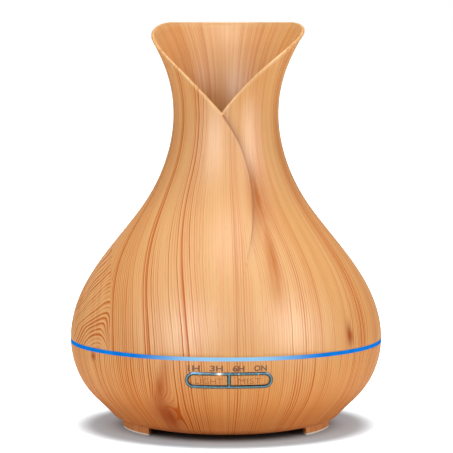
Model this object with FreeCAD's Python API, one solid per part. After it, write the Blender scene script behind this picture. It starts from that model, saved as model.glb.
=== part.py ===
import FreeCAD, Part
import math
import os

# A vase-shaped ultrasonic oil diffuser, in millimetres, +Z up. The origin is the centre of the plane it
# stands on. The button panel faces -Y. An angle named "turn" is measured round the vase from the front,
# in degrees, positive towards +X.

Vector = FreeCAD.Vector
UP = Vector(0, 0, 1)

# ---- driving dimensions -------------------------------------------------------------------------------
HEIGHT = 218.0
SEAM_LOW = 46.0                # top of the lower housing, underside of the light ring
SEAM_HIGH = 48.0               # top of the light ring
COVER_LOW = 48.05              # lower edge of the cover
WALL = 2.4                     # of the two outer shells
BASE_Z = 2.0                   # underside of the bowl above the table
# radius of the outside at each height, from the bowl's lower edge to the back of the mouth
OUTLINE = [(2, 48.0), (4, 56.0), (8, 62.6), (18, 72.7), (32, 81.3), (47, 84.2), (62, 82.3), (80, 74.5),
           (100, 60.2), (122, 43.3), (145, 32.3), (167, 28.4), (188, 31.0), (206, 38.6), (218, 45.8)]

# the mouth: its rim falls from the back to a notch at the front
NOTCH_TURN = -6.0
NOTCH_Z = 170.0
RIM_FALL_TURN = 132.0          # how far round from the notch the rim starts to fall
RIM_POWER_LEFT = 1.5
RIM_POWER_RIGHT = 1.65
# the left petal's edge, where it laps over the right one: turn at each height, fading out at the bottom
LAP_EDGE = [(86, 5.6), (100, 10.4), (118, 16.7), (133, 19.4), (145, 17.5), (155, 11.5), (163, 3.0),
            (170, -6.0)]
LAP_RISE = 1.0                 # how far the left petal stands proud at its edge
LAP_DIP = 0.7                  # how far the right petal dips under it
LAP_LEFT_REACH = 16.0          # arc length over which the rise dies away
LAP_RIGHT_REACH = 9.0
LAP_FADE = (84.0, 126.0)       # heights over which the lap grows to its full step

PANEL_Z = 35.9                 # height of the button panel's centre
BEZEL_LENGTH = 44.9
BEZEL_HEIGHT = 8.6
OPENING_LENGTH = 42.0
OPENING_HEIGHT = 5.7
SLEEVE_LENGTH = 43.7
SLEEVE_HEIGHT = 8.0
SLEEVE_GAP = 0.1               # between the sleeve and the bowl's aperture
BEZEL_PROUD = 0.5
SLEEVE_DEPTH = 3.2
DIVIDER = 1.3
BUTTON_GAP = 0.25
BUTTON_RECESS = 0.4
BUTTON_X = 10.4
BUTTON_STOP = (3.5, 4.4)       # depth of the ledge that keeps a button behind the sleeve
SWITCH_FRONT = 6.4             # depth of the switch plunger's tip behind the panel's surface
SWITCH_BODY = (7.3, 9.5)
SWITCH_WELL = 9.1
PLUNGER_END = 8.4
PLUNGER_R = 1.7
CONTROL_BOARD = (9.5, 10.7)
CONTROL_BOARD_HALF = 26.4
CONTROL_BOARD_UP = (-4.0, 5.2)
CONTROL_POST_X = 24.2
CONTROL_POST_R = 2.1
INDICATOR_X = (-15.0, -5.0, 5.0, 15.0)
INDICATOR_UP = 3.5
PIPE_R = 0.4

FOOT_TURNS = (66.0, 180.0, -66.0)
FOOT_OUT = 56.4                # a foot is where a disc of this radius meets a cylinder further out
FOOT_CYLINDER_AT = 75.0
FOOT_CYLINDER_R = 28.0
LUG_Z = 0.9                    # underside of the foot lug; the pad stands out of it to the table
PAD_INSET = 0.4
TENON_INSET = 2.4
TENON_TOP = 2.1

OPENING_R = 43.1               # hole in the bowl for the bottom cover
REBATE_R = 46.1
REBATE_TOP = 3.3
FLOOR_TOP = 4.6
COVER_TOP = 4.4

RING_IN = 79.6
RING_LEG_OUT = 81.2
RING_LEG_Z = 44.2
FLANGE_OUT = 81.4
FLANGE_TOP = 49.6
COLLAR_IN = 79.1
COLLAR_OUT = 80.7
COLLAR_TOP = 53.5
TANK_IN = 75.8
TANK_OUT = 77.8
TANK_FLOOR = (20.0, 22.0)
TANK_FLAT = (-69.5, -67.5)     # the flat wall that leaves room for the control board
TANK_BOWL_OUT = [(50, 20), (61, 23.5), (71, 32), (76.4, 41), (77.8, 48)]
TANK_BOWL_IN = [(50, 22), (59.9, 25.2), (69.3, 33.2), (74.4, 41.6), (75.8, 48)]
DUCT_X = (-60.0, -49.5)
DUCT_Y = 11.0
DUCT_WALL = 1.5
DUCT_TOP = 52.5

BASE_SCREWS = [(x, y) for x in (-24.0, 24.0) for y in (-29.0, 29.0)]
BOSS_R = 3.5
BOARD_POSTS = [(19.0, -20.0), (19.0, 20.0), (35.0, -18.0), (35.0, 18.0)]
MAIN_BOARD = (8.0, 9.6)

FAN_X = -26.0
FAN_Z = (6.0, 13.0)
FAN_SIZE = 30.0
FAN_HOLE = 12.0
FAN_BORE = 14.0
HOOD_X = (-60.5, -13.4)
HOOD_Y = 15.5
HOOD_TOP = 19.8
HOOD_WALL = 1.2

DISC_R = 8.0
DISC_Z = (17.6, 18.8)
SEAL_Z = 16.4
SEAL_R = (6.6, 9.5)
RETAINER_Z = 14.8
RETAINER_R = 13.0
RETAINER_SCREW_R = 11.3
RETAINER_TURNS = (0.0, 120.0, 240.0)

LED_BOARD = (15.4, 16.6)
LED_BOARD_R = (17.0, 26.0)
LED_RING_R = 21.5
LED_TURNS = (-110.0, -66.0, -22.0, 22.0, 66.0, 110.0)
LED_SCREW_TURNS = (-88.0, 0.0, 88.0)
LED_BOARD_HALF_TURN = 120.0

JACK_Z = 15.0
JACK_SEAT = 64.0
JACK_BACK = (50.0, 61.5)
JACK_R = 4.3
JACK_BORE_R = 2.8
JACK_BORE_END = 54.5
JACK_PIN_R = 1.0
JACK_PIN_TIP = 63.0

CHIMNEY_TOP = 124.0


# ---- curves -------------------------------------------------------------------------------------------
def natural_spline(points):
    """A function through (x, value) points: the natural cubic spline, held at its ends."""
    xs = [p[0] for p in points]
    ys = [p[1] for p in points]
    n = len(xs)
    gap = [xs[i + 1] - xs[i] for i in range(n - 1)]
    slope = [(ys[i + 1] - ys[i]) / gap[i] for i in range(n - 1)]
    ratio = [0.0] * n
    bend = [0.0] * n
    for i in range(1, n - 1):
        pivot = 2 * (gap[i - 1] + gap[i]) - gap[i - 1] * ratio[i - 1]
        ratio[i] = gap[i] / pivot
        bend[i] = (6 * (slope[i] - slope[i - 1]) - gap[i - 1] * bend[i - 1]) / pivot
    for i in range(n - 2, 0, -1):
        bend[i] -= ratio[i] * bend[i + 1]

    def value(x):
        x = min(max(x, xs[0]), xs[-1])
        i = max(k for k in range(n - 1) if xs[k] <= x)
        a = (xs[i + 1] - x) / gap[i]
        b = 1 - a
        curve = ((a ** 3 - a) * bend[i] + (b ** 3 - b) * bend[i + 1]) * gap[i] ** 2 / 6
        return a * ys[i] + b * ys[i + 1] + curve

    return value


body_radius = natural_spline(OUTLINE)
lap_turn = natural_spline(LAP_EDGE)


def smooth(x):
    x = min(max(x, 0.0), 1.0)
    return x * x * (3 - 2 * x)


def rim_height(turn):
    """Height of the mouth's rim at an angle round the vase."""
    away = (turn - NOTCH_TURN + 180) % 360 - 180
    power = RIM_POWER_LEFT if away < 0 else RIM_POWER_RIGHT
    fall = max(0.0, 1 - abs(away) / RIM_FALL_TURN) ** power
    return HEIGHT - (HEIGHT - NOTCH_Z) * fall


def lap_step(past_edge, z):
    """How far the surface stands out (+) or in (-), past_edge degrees to the right of the lap's edge."""
    low, high = LAP_FADE
    strength = smooth((z - low) / (high - low))
    arc = math.radians(abs(past_edge)) * body_radius(z)
    if past_edge < 0:
        return strength * LAP_RISE * math.exp(-arc / LAP_LEFT_REACH)
    return -strength * LAP_DIP * math.exp(-arc / LAP_RIGHT_REACH)


def polar(radius, turn, z):
    angle = math.radians(turn)
    return Vector(radius * math.sin(angle), -radius * math.cos(angle), z)


def steps(low, high, count):
    return [low + (high - low) * i / (count - 1) for i in range(count)]


# ---- shape helpers ------------------------------------------------------------------------------------
def box(x, y, z):
    """A box from three (low, high) pairs."""
    size = [pair[1] - pair[0] for pair in (x, y, z)]
    return Part.makeBox(*size, Vector(x[0], y[0], z[0]))


def tube(x, y, z, outer, inner=0.0):
    """An upright cylinder at (x, y) from z[0] to z[1], with a bore if inner is given."""
    solid = Part.makeCylinder(outer, z[1] - z[0], Vector(x, y, z[0]))
    if inner:
        solid = solid.cut(Part.makeCylinder(inner, z[1] - z[0] + 2, Vector(x, y, z[0] - 1)))
    return solid


def along_y(x, z, y, radius):
    return Part.makeCylinder(radius, y[1] - y[0], Vector(x, y[0], z), Vector(0, 1, 0))


def turned(edges):
    """Revolves a closed outline, drawn in the XZ plane, round the Z axis."""
    return Part.Face(Part.Wire(edges)).revolve(Vector(0, 0, 0), UP, 360)


def ring(points):
    """Revolves a polygon of (radius, z) corners round the Z axis."""
    corners = [Vector(r, 0, z) for r, z in points]
    corners.append(corners[0])
    return Part.Face(Part.makePolygon(corners)).revolve(Vector(0, 0, 0), UP, 360)


def curve(points):
    spline = Part.BSplineCurve()
    spline.interpolate(Points=[Vector(r, 0, z) for r, z in points])
    return spline.toShape()


def lines(points):
    corners = [Vector(r, 0, z) for r, z in points]
    return [Part.LineSegment(a, b).toShape() for a, b in zip(corners, corners[1:])]


def outline_curve(low, high, offset, count=24):
    """The body's outline between two heights, moved out by offset, as a curve in the XZ plane."""
    return curve([(body_radius(z) + offset, z) for z in steps(low, high, count)])


def ends(edge):
    """First and last point of an edge, as (radius, z)."""
    return [(p.x, p.z) for p in (edge.firstVertex().Point, edge.lastVertex().Point)]


def layer(out, inside, low=27.0, high=45.5):
    """The shell between two offsets of the body's outline, round the button panel's height."""
    outer = outline_curve(low, high, out)
    inner = outline_curve(low, high, inside)
    sides = [lines([ends(outer)[k], ends(inner)[k]])[0] for k in (0, 1)]
    return turned(Part.__sortEdges__([outer, inner] + sides))


def join(shapes):
    solid = shapes[0]
    for other in shapes[1:]:
        solid = solid.fuse(other)
    return solid.removeSplitter()


def screw(x, y, head, shank, head_r, shank_r):
    """A pan-head screw seen as two cylinders; head and shank are (low, high) heights."""
    return tube(x, y, head, head_r).fuse(tube(x, y, shank, shank_r)).removeSplitter()


def arc_block(inner, outer, turn, half, z):
    """A block bent round the Z axis, centred on an angle round the vase."""
    blank = Part.makeCylinder(outer, z[1] - z[0], Vector(0, 0, z[0]), UP, 2 * half)
    blank = blank.cut(tube(0, 0, (z[0] - 1, z[1] + 1), inner))
    blank.rotate(Vector(0, 0, 0), UP, turn - 90 - half)
    return blank


def cable(points, radius):
    """A round cable along a smooth path."""
    path = Part.BSplineCurve()
    path.interpolate(Points=[Vector(*p) for p in points])
    start = path.value(path.FirstParameter)
    heading = path.tangent(path.FirstParameter)[0]
    profile = Part.Wire(Part.makeCircle(radius, start, heading))
    return Part.Wire(path.toShape()).makePipeShell([profile], True, True)


# ---- the button panel's own frame: X right, Y inwards from the surface, Z up from the panel's centre -----
def on_panel(shape):
    shape.translate(Vector(0, -body_radius(PANEL_Z), PANEL_Z))
    return shape


def panel_rod(x, up, y, radius):
    return on_panel(along_y(x, up, y, radius))


def stadium(length, height, y=(-4.0, 14.0)):
    """A slot-shaped prism with round ends, through the panel."""
    half = height / 2
    straight = length / 2 - half
    top = Part.LineSegment(Vector(-straight, 0, half), Vector(straight, 0, half))
    right = Part.Arc(Vector(straight, 0, half), Vector(straight + half, 0, 0), Vector(straight, 0, -half))
    bottom = Part.LineSegment(Vector(straight, 0, -half), Vector(-straight, 0, -half))
    left = Part.Arc(Vector(-straight, 0, -half), Vector(-straight - half, 0, 0), Vector(-straight, 0, half))
    face = Part.Face(Part.Wire([part.toShape() for part in (top, right, bottom, left)]))
    face.translate(Vector(0, y[0], 0))
    return on_panel(face.extrude(Vector(0, y[1] - y[0], 0)))


# ---- the cover ----------------------------------------------------------------------------------------
SKIN_TURNS = [0.35, 0.9, 1.8, 3.2, 5.2, 8, 12, 17, 23, 30, 39, 50, 63, 78, 94, 110, 127, 145, 162, 180]
SKIN_ROWS = 34


def skin(offset):
    """The cover's surface at a distance inside the body's outline, as (faces, lower edges, upper edges).

    The main face starts at the right of the lap's edge and goes round the back to its left. The second
    face is the lap's step.
    """
    turns = SKIN_TURNS + [360 - t for t in reversed(SKIN_TURNS[:-1])]
    grid = []
    for t in turns:
        past_edge = t if t < 180 else t - 360
        top = rim_height(NOTCH_TURN + past_edge)
        column = []
        for share in steps(0.0, 1.0, SKIN_ROWS):
            z = COVER_LOW + (top - COVER_LOW) * share
            radius = body_radius(z) - offset + lap_step(past_edge, z)
            column.append(polar(radius, lap_turn(z) + past_edge, z))
        grid.append(column)
    surface = Part.BSplineSurface()
    surface.interpolate(grid)
    u_low, u_high, v_low, v_high = surface.bounds()
    step = Part.makeRuledSurface(surface.uIso(u_low).toShape(), surface.uIso(u_high).toShape())
    lower = [surface.vIso(v_low).toShape(), Part.makeLine(grid[0][0], grid[-1][0])]
    upper = [surface.vIso(v_high).toShape(), Part.makeLine(grid[0][-1], grid[-1][-1])]
    return [surface.toShape(), step], lower, upper


def top_cover():
    """The vase itself: a lapped shell, open below, with a notched mouth."""
    outer, outer_low, outer_high = skin(0.0)
    inner, inner_low, inner_high = skin(WALL)
    edges = zip(outer_low + outer_high, inner_low + inner_high)
    faces = outer + inner + [Part.makeRuledSurface(outside, inside) for outside, inside in edges]
    shell = Part.makeShell(faces)
    shell.sewShape(0.02)
    solid = Part.makeSolid(Part.Shell(shell.Faces))
    solid.fix(0.01, 0.01, 0.01)
    if solid.Volume < 0:
        solid.reverse()
    return solid


def inner_lid():
    """The splash lid: a flange and skirt that sit in the tank's collar, a dome and a mist chimney."""
    dome_out = curve([(77.2, 56.4), (66, 62.5), (44, 71.5), (24, 79), (15.2, 90)])
    dome_in = curve([(75.4, 55.1), (64.6, 60.9), (43, 69.8), (22.8, 77.4), (13.4, 90)])
    sides = lines([(15.2, 90), (12.8, CHIMNEY_TOP), (11.2, CHIMNEY_TOP), (13.4, 90)])
    rim = lines([(75.4, 55.1), (77.3, 55.1), (77.3, 50.2), (78.9, 50.2), (78.9, COLLAR_TOP),
                 (80.5, COLLAR_TOP), (80.5, 55.1), (78.5, 56.4), (77.2, 56.4)])
    return turned(Part.__sortEdges__([dome_out, dome_in] + sides + rim))


# ---- the base -----------------------------------------------------------------------------------------
def filled_bowl():
    outer = outline_curve(BASE_Z, SEAM_LOW, 0.0, 30)
    low, high = ends(outer)
    return turned([outer] + lines([high, (0, SEAM_LOW), (0, BASE_Z), low]))


def foot_block(turn, inset, z):
    """The crescent under a foot, shrunk all round by inset."""
    far = polar(FOOT_CYLINDER_AT, turn, 0)
    disc = tube(0, 0, z, FOOT_OUT - inset)
    return disc.common(tube(far.x, far.y, z, FOOT_CYLINDER_R - inset))


def lower_housing():
    """The wood-look bowl, with foot lugs, the panel's aperture and the socket's seat."""
    inner = curve([(body_radius(z) - WALL * math.hypot(1, body_radius(z + 0.3) - body_radius(z - 0.3)), z)
                   for z in steps(FLOOR_TOP + 2, SEAM_LOW, 20)])
    low, high = ends(inner)
    hollow = turned([inner] + lines([high, (0, SEAM_LOW), (0, FLOOR_TOP), (low[0] - 2.5, FLOOR_TOP), low]))
    bowl = filled_bowl()
    lug = [foot_block(t, 0.0, (LUG_Z, 7.0)) for t in FOOT_TURNS]
    socket_seat = along_y(0, JACK_Z, (JACK_BACK[1], 80.0), 6.8).common(bowl)
    posts = [panel_rod(x, 0, (0.0, CONTROL_BOARD[0]), CONTROL_POST_R)
             for x in (-CONTROL_POST_X, CONTROL_POST_X)]
    walls = [bowl.cut(hollow)] + lug + [socket_seat] + [post.common(bowl) for post in posts]
    solid = join(walls)
    solid = solid.cut(tube(0, 0, (0, FLOOR_TOP + 1), OPENING_R))
    solid = solid.cut(tube(0, 0, (0, REBATE_TOP), REBATE_R))
    solid = solid.cut(stadium(SLEEVE_LENGTH + 2 * SLEEVE_GAP, SLEEVE_HEIGHT + 2 * SLEEVE_GAP, (-4.0, 8.0)))
    solid = solid.cut(along_y(0, JACK_Z, (JACK_SEAT, 80.0), 6.0))
    solid = solid.cut(along_y(0, JACK_Z, (JACK_BACK[1] - 1, JACK_SEAT + 1), JACK_R + 0.1))
    for x in (-CONTROL_POST_X, CONTROL_POST_X):
        solid = solid.cut(panel_rod(x, 0, (6.3, CONTROL_BOARD[0] + 1), 0.95))
    for t in FOOT_TURNS:
        solid = solid.cut(foot_block(t, TENON_INSET - 0.1, (0.0, TENON_TOP)))
    return solid


def foot_pad(turn):
    """A silicone pad under a foot lug, with a tenon let into it."""
    return join([foot_block(turn, PAD_INSET, (0.0, LUG_Z)), foot_block(turn, TENON_INSET, (0.0, TENON_TOP))])


def grille(x, radius, width, pitch):
    """Parallel slots that fill a circle."""
    slots = []
    for k in range(-3, 4):
        half = math.sqrt(radius ** 2 - (k * pitch) ** 2) - width / 2
        bar = box((x - half, x + half), (k * pitch - width / 2, k * pitch + width / 2), (0, 6))
        rounds = [tube(x + side * half, k * pitch, (0, 6), width / 2) for side in (-1, 1)]
        slots.append(join([bar] + rounds))
    return slots


def bottom_cover():
    """The round plate under the bowl, with the air grille, screw wells and posts for board and fan."""
    solid = ring([(0, BASE_Z), (REBATE_R - 0.3, BASE_Z), (REBATE_R - 0.3, REBATE_TOP - 0.1),
                  (OPENING_R - 0.3, REBATE_TOP - 0.1), (OPENING_R - 0.3, COVER_TOP), (0, COVER_TOP)])
    fan_posts = [(FAN_X + dx, dy) for dx in (-FAN_HOLE, FAN_HOLE) for dy in (-FAN_HOLE, FAN_HOLE)]
    solid = join([solid] + [tube(x, y, (COVER_TOP - 1, 5.6), 4.3) for x, y in BASE_SCREWS]
                 + [tube(x, y, (COVER_TOP - 1, MAIN_BOARD[0]), 2.4) for x, y in BOARD_POSTS]
                 + [tube(x, y, (COVER_TOP - 1, FAN_Z[0]), 1.9) for x, y in fan_posts])
    for x, y in BASE_SCREWS:
        solid = solid.cut(tube(x, y, (0, 4.0), 2.9)).cut(tube(x, y, (0, 6), 1.6))
    for x, y in BOARD_POSTS:
        solid = solid.cut(tube(x, y, (5.2, 9), 1.05))
    for x, y in fan_posts:
        solid = solid.cut(tube(x, y, (3.2, 7), 1.0))
    for slot in grille(FAN_X, 13.0, 1.8, 3.5):
        solid = solid.cut(slot)
    return solid


def base_screws():
    return [screw(x, y, (2.2, 4.0), (4.0, 14.0), 2.6, 1.4) for x, y in BASE_SCREWS]


def light_ring():
    """The milky light guide that shows as a band between the bowl and the cover."""
    out = body_radius((SEAM_LOW + SEAM_HIGH) / 2)
    return ring([(RING_IN, RING_LEG_Z), (RING_LEG_OUT, RING_LEG_Z), (RING_LEG_OUT, SEAM_LOW),
                 (out, SEAM_LOW), (out, SEAM_HIGH), (RING_IN, SEAM_HIGH)])


def tank_seal():
    """A silicone ring between the tank's wall and the light guide."""
    return ring([(TANK_OUT + 0.1, 45.0), (RING_IN - 0.1, 45.0), (RING_IN - 0.1, 47.9),
                 (TANK_OUT + 0.1, 47.9)])


def water_tank():
    """The water bowl: flange, collar, front flat, air duct and the bosses under its floor."""
    outer = curve(TANK_BOWL_OUT)
    inner = curve(TANK_BOWL_IN)
    rim = [(TANK_OUT, SEAM_HIGH), (FLANGE_OUT, SEAM_HIGH), (FLANGE_OUT, FLANGE_TOP),
           (COLLAR_OUT, FLANGE_TOP), (COLLAR_OUT, COLLAR_TOP), (COLLAR_IN, COLLAR_TOP),
           (COLLAR_IN, FLANGE_TOP), (TANK_IN, FLANGE_TOP), (TANK_IN, SEAM_HIGH)]
    floor = [(50, TANK_FLOOR[1]), (0, TANK_FLOOR[1]), (0, TANK_FLOOR[0]), (50, TANK_FLOOR[0])]
    shell = turned(Part.__sortEdges__([outer, inner] + lines(rim) + lines(floor)))
    filled = turned([outer] + lines([(TANK_OUT, SEAM_HIGH), (0, SEAM_HIGH), (0, 20), (50, 20)]))
    front = box((-60, 60), (-90, TANK_FLAT[0]), (10, SEAM_HIGH - 1.6))
    flat_wall = filled.common(box((-60, 60), (TANK_FLAT[0], TANK_FLAT[1]), (10, SEAM_HIGH)))
    shelf = filled.common(box((-60, 60), (-90, TANK_FLAT[1]), (SEAM_HIGH - 1.6, SEAM_HIGH)))
    tower = box(DUCT_X, (-DUCT_Y, DUCT_Y), (TANK_FLOOR[0], DUCT_TOP))
    tower = tower.makeFillet(3.0, [e for e in tower.Edges if e.BoundBox.ZLength > 20])
    bosses = [tube(x, y, (5.6, TANK_FLOOR[0] + 1), BOSS_R) for x, y in BASE_SCREWS]
    led_bosses = [polar(LED_RING_R, t + 90, 0) for t in LED_SCREW_TURNS]
    bosses += [tube(p.x, p.y, (LED_BOARD[1], TANK_FLOOR[0] + 1), 2.2) for p in led_bosses]
    disc_bosses = [polar(RETAINER_SCREW_R, t + 90, 0) for t in RETAINER_TURNS]
    bosses += [tube(p.x, p.y, (SEAL_Z, TANK_FLOOR[0] + 1), 1.6) for p in disc_bosses]
    solid = join([shell.cut(front), flat_wall, shelf, tower] + bosses)
    well = box((DUCT_X[0] + DUCT_WALL, DUCT_X[1] - DUCT_WALL), (DUCT_WALL - DUCT_Y, DUCT_Y - DUCT_WALL),
               (10, DUCT_TOP + 1))
    solid = solid.cut(well.makeFillet(1.5, [e for e in well.Edges if e.BoundBox.ZLength > 20]))
    solid = solid.cut(tube(0, 0, (10, 30), 7.0))
    for x, y in BASE_SCREWS:
        solid = solid.cut(tube(x, y, (5, 15), 1.45))
    for p in led_bosses:
        solid = solid.cut(tube(p.x, p.y, (15, 19.6), 0.85))
    for p in disc_bosses:
        solid = solid.cut(tube(p.x, p.y, (15, 19.6), 0.85))
    return solid


# ---- the atomiser -------------------------------------------------------------------------------------
def piezo_disc():
    return tube(0, 0, DISC_Z, DISC_R)


def piezo_seal():
    """A silicone ring that holds the disc in its groove."""
    return tube(0, 0, (SEAL_Z, TANK_FLOOR[0]), SEAL_R[1], SEAL_R[0]).cut(piezo_disc())


def piezo_retainer():
    """The metal plate that presses the seal against the tank's floor."""
    solid = tube(0, 0, (RETAINER_Z, SEAL_Z), RETAINER_R, 4.0)
    for t in RETAINER_TURNS:
        p = polar(RETAINER_SCREW_R, t + 90, 0)
        solid = solid.cut(tube(p.x, p.y, (10, 20), 1.0))
    return solid


def retainer_screws():
    places = [polar(RETAINER_SCREW_R, t + 90, 0) for t in RETAINER_TURNS]
    return [screw(p.x, p.y, (RETAINER_Z - 1.2, RETAINER_Z), (RETAINER_Z, 19.2), 1.5, 0.8) for p in places]


# ---- the fan ------------------------------------------------------------------------------------------
FAN_HOLES = [(FAN_X + dx, dy) for dx in (-FAN_HOLE, FAN_HOLE) for dy in (-FAN_HOLE, FAN_HOLE)]


def fan_frame():
    """A square axial-fan frame with its bearing tube on three struts."""
    half = FAN_SIZE / 2
    solid = box((FAN_X - half, FAN_X + half), (-half, half), FAN_Z)
    solid = solid.makeFillet(2.5, [e for e in solid.Edges if e.BoundBox.ZLength > 5])
    solid = solid.cut(tube(FAN_X, 0, (5, 14), FAN_BORE))
    strut = box((6.0, FAN_BORE + 0.5), (-1.0, 1.0), (FAN_Z[0], FAN_Z[0] + 1.2))
    struts = []
    for k in range(3):
        bar = strut.copy()
        bar.rotate(Vector(0, 0, 0), UP, 60 + 120 * k)
        bar.translate(Vector(FAN_X, 0, 0))
        struts.append(bar)
    hub = tube(FAN_X, 0, (FAN_Z[0], FAN_Z[0] + 1.2), 7.5)
    bearing = tube(FAN_X, 0, (FAN_Z[0] + 1.2, 11.2), 2.2, 0.8)
    solid = join([solid] + struts + [hub, bearing])
    for x, y in FAN_HOLES:
        solid = solid.cut(tube(x, y, (5, 14), 1.2)).cut(tube(x, y, (FAN_Z[1] - 1.4, 14), 2.1))
    return solid


def fan_rotor():
    """The fan's cup, shaft and seven blades."""
    cup = tube(0, 0, (7.7, 12.6), 8.0).cut(tube(0, 0, (7, 11.6), 7.1))
    shaft = tube(0, 0, (7.4, 12.0), 0.75)
    trim = tube(0, 0, (7.6, 12.6), 13.4, 7.6)
    blades = []
    for k in range(7):
        blade = box((7.0, 14.0), (-0.5, 0.5), (-5.0, 5.0))
        blade.rotate(Vector(0, 0, 0), Vector(1, 0, 0), 48)
        blade.translate(Vector(0, 0, 10.1))
        blade.rotate(Vector(0, 0, 0), UP, 360 / 7 * k)
        blades.append(blade.common(trim))
    solid = join([cup, shaft] + blades)
    solid.translate(Vector(FAN_X, 0, 0))
    return solid


def fan_motor_coil():
    return tube(FAN_X, 0, (7.7, 11.0), 6.4, 2.3)


def fan_gasket():
    return tube(FAN_X, 0, (COVER_TOP, FAN_Z[0]), 14.8, 13.9)


def fan_screws():
    top = FAN_Z[1]
    return [screw(x, y, (top - 1.3, top), (3.4, top - 1.3), 1.9, 0.9) for x, y in FAN_HOLES]


def air_guide():
    """A flat hood that leads the fan's air to the duct in the tank."""
    def hood(grow, z):
        blank = box((HOOD_X[0] - grow, HOOD_X[1] + grow), (-HOOD_Y - grow, HOOD_Y + grow), z)
        return blank.makeFillet(6.0 + grow, [e for e in blank.Edges if e.BoundBox.ZLength > 4])

    hollow = hood(-HOOD_WALL, (FAN_Z[1] + HOOD_WALL, HOOD_TOP - HOOD_WALL))
    solid = hood(0.0, (FAN_Z[1], HOOD_TOP)).cut(hollow)
    mouth = box((FAN_X - 14.5, HOOD_X[1] - HOOD_WALL), (HOOD_WALL - HOOD_Y, HOOD_Y - HOOD_WALL), (12, 15))
    outlet = box((DUCT_X[0] + DUCT_WALL, DUCT_X[1] - DUCT_WALL), (DUCT_WALL - DUCT_Y, DUCT_Y - DUCT_WALL),
                 (18, 21))
    return solid.cut(mouth).cut(outlet)


# ---- boards, socket and wiring --------------------------------------------------------------------------
def main_board():
    solid = box((15, 48), (-24, 24), MAIN_BOARD)
    for x, y in BOARD_POSTS:
        solid = solid.cut(tube(x, y, (7, 11), 1.2))
    return solid


def board_screws():
    top = MAIN_BOARD[1]
    return [screw(x, y, (top, top + 1.3), (5.4, top), 1.9, 1.0) for x, y in BOARD_POSTS]


def board_connectors():
    top = MAIN_BOARD[1]
    places = [(27, 21), (27, -21), (42, 19.5), (42, -21.2)]
    return [box((x - 3.5, x + 3.5), (y - 2.25, y + 2.25), (top, top + 5)) for x, y in places]


def control_chip():
    return box((19.0, 24.0), (2.0, 12.0), (MAIN_BOARD[1], 11.2))


def driver_coil():
    """A drum inductor: two flanges and a waist."""
    low = MAIN_BOARD[1]
    drum = ring([(0, low), (4.5, low), (4.5, low + 1.2), (3.7, low + 1.2), (3.7, low + 6.6), (4.5, low + 6.6),
                 (4.5, low + 7.8), (0, low + 7.8)])
    drum.translate(Vector(42.5, -14, 0))
    return drum


def capacitors():
    low = MAIN_BOARD[1]
    return [tube(42.5, 3.5, (low, low + 9), 3.15), tube(42.5, 11.5, (low, low + 7), 2.5)]


def transistor_heat_sink():
    """A finned block beside the driver transistor."""
    low = MAIN_BOARD[1]
    back = box((33.4, 35.0), (-10, 6), (low, low + 9))
    fins = [box((28.2, 33.4), (y, y + 1.2), (low, low + 9)) for y in steps(-10, 4.8, 5)]
    return join([back] + fins)


def driver_transistor():
    return box((35.0, 37.6), (-7.5, 0.5), (MAIN_BOARD[1] + 0.6, MAIN_BOARD[1] + 8.6))


def led_board():
    """A C-shaped board round the atomiser."""
    r_in, r_out = LED_BOARD_R
    solid = arc_block(r_in, r_out, 90, LED_BOARD_HALF_TURN, LED_BOARD)
    for t in LED_SCREW_TURNS:
        p = polar(LED_RING_R, t + 90, 0)
        solid = solid.cut(tube(p.x, p.y, (14, 18), 1.0))
    return solid


def leds():
    """Six square light-emitting diodes on the C-shaped board."""
    chips = []
    for t in LED_TURNS:
        chip = box((LED_RING_R - 2.5, LED_RING_R + 2.5), (-2.5, 2.5), (LED_BOARD[1], LED_BOARD[1] + 1.5))
        chip.rotate(Vector(0, 0, 0), UP, t)
        chips.append(chip)
    return chips


def led_board_screws():
    places = [polar(LED_RING_R, t + 90, 0) for t in LED_SCREW_TURNS]
    low = LED_BOARD[0]
    return [screw(p.x, p.y, (low - 1.2, low), (low, 19.2), 1.6, 0.8) for p in places]


def dc_socket():
    """The power socket: body, barrel, bore and centre pin."""
    body = box((-4.5, 4.5), JACK_BACK, (JACK_Z - 4.5, JACK_Z + 4.5))
    barrel = along_y(0, JACK_Z, (JACK_BACK[1] - 1, JACK_SEAT), JACK_R)
    solid = join([body, barrel]).cut(along_y(0, JACK_Z, (JACK_BORE_END, JACK_SEAT + 1), JACK_BORE_R))
    return join([solid, along_y(0, JACK_Z, (JACK_BORE_END - 1, JACK_PIN_TIP), JACK_PIN_R)])


def control_board():
    solid = on_panel(box((-CONTROL_BOARD_HALF, CONTROL_BOARD_HALF), CONTROL_BOARD, CONTROL_BOARD_UP))
    for x in (-CONTROL_POST_X, CONTROL_POST_X):
        solid = solid.cut(panel_rod(x, 0, (CONTROL_BOARD[0] - 1, CONTROL_BOARD[1] + 1), 1.1))
    return solid


def control_board_screws():
    back = CONTROL_BOARD[1]
    made = []
    for x in (-CONTROL_POST_X, CONTROL_POST_X):
        made.append(panel_rod(x, 0, (back, back + 1.2), 1.8).fuse(panel_rod(x, 0, (6.5, back), 0.85)))
    return [s.removeSplitter() for s in made]


def switch_bodies():
    made = []
    for x in (-BUTTON_X, BUTTON_X):
        body = on_panel(box((x - 3, x + 3), SWITCH_BODY, (-3, 3)))
        made.append(body.cut(panel_rod(x, 0, (SWITCH_BODY[0] - 1, SWITCH_WELL), PLUNGER_R + 0.06)))
    return made


def switch_plunger(x):
    return panel_rod(x, 0, (SWITCH_FRONT, PLUNGER_END), PLUNGER_R)


def indicator_leds():
    front = CONTROL_BOARD[0] - 0.8
    return [on_panel(box((x - 1, x + 1), (front, CONTROL_BOARD[0]), (INDICATOR_UP - 0.6, INDICATOR_UP + 0.6)))
            for x in INDICATOR_X]


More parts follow.
